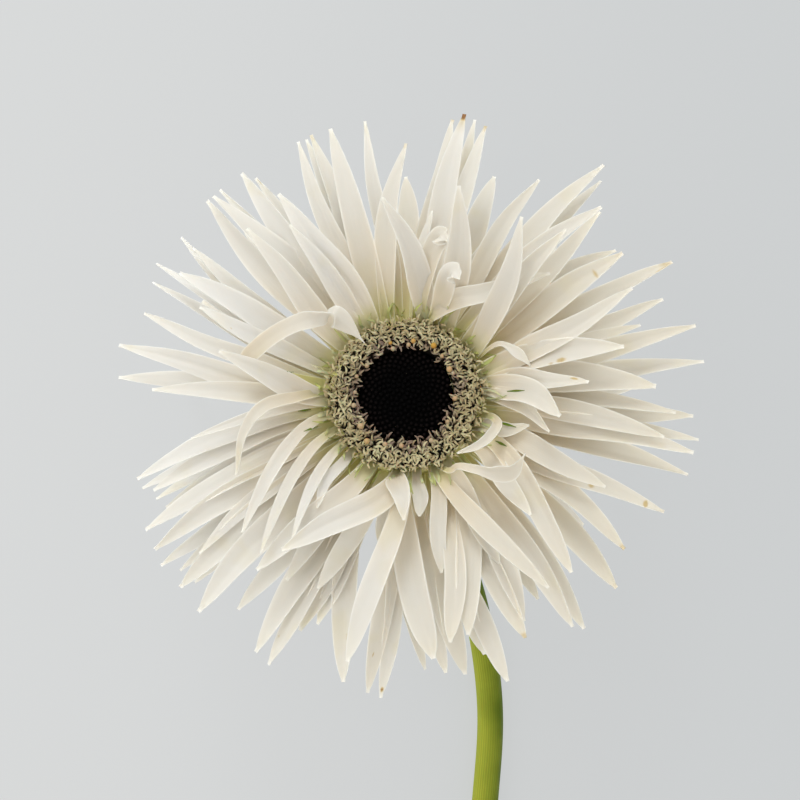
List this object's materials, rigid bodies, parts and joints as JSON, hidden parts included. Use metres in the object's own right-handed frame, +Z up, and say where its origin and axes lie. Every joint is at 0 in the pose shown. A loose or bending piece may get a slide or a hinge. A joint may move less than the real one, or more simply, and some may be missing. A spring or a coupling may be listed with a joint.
{
  "type": "cut gerbera",
  "caption": "White spider gerbera with pointed ray florets, a ring of curled florets, a dark disc and a long bare stem, cut and laid on its back.",
  "frame": {"origin": "on the surface that the flower lies on, under the middle of its own box", "axes": "+Z up, out of the surface; the face of the flower looks up; +Y from the cut end of the stem towards the head"},
  "size_m": [0.1167, 0.3987, 0.0601],
  "materials": {
    "petal": "soft ivory petal with fine lengthwise veins",
    "floret_ring": "matt cream and grey-green curled florets",
    "disc": "near-black maroon closed buds",
    "bract": "hairy matt green bracts",
    "stem": "finely ribbed yellow-green stem"
  },
  "bodies": {
    "root": {"ray_florets": "petal", "trans_florets": "floret_ring", "disc_florets": "disc", "involucre": "bract", "stem": "stem"}
  },
  "joints": []
}
